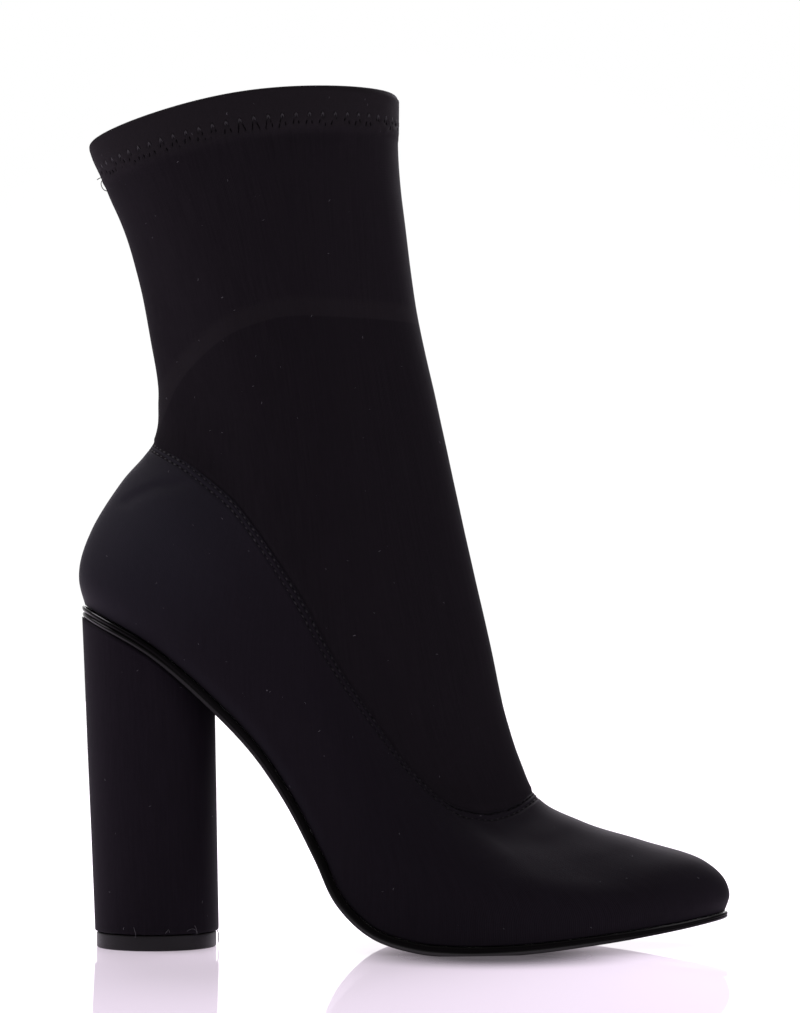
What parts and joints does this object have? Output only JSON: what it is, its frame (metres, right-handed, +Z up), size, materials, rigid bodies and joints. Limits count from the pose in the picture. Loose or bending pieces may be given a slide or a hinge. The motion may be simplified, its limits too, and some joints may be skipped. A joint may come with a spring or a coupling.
{
  "type": "heeled ankle boot",
  "caption": "Pull-on ankle boot for a right foot, with a stretch sock shaft, a pointed toe, a thin glossy sole and a high round block heel.",
  "frame": {"origin": "centre of the heel's tread, on the floor", "axes": "+X towards the toe, +Y towards the inner side of the foot, +Z up from the floor"},
  "size_m": [0.2206, 0.08, 0.2886],
  "materials": {
    "foot_cloth": "black fine stretch knit with a soft sheen",
    "shaft_cloth": "black fine stretch knit, matt",
    "lining": "black matt lining cloth",
    "sole": "glossy black edge, satin tread",
    "heel_cloth": "black fine stretch knit glued over the heel block",
    "top_piece": "satin black hard rubber"
  },
  "bodies": {
    "root": {"upper": "foot_cloth", "shaft": "shaft_cloth", "insole": "lining", "outsole": "sole", "heel": "heel_cloth", "heel_top_piece": "top_piece"}
  },
  "joints": []
}
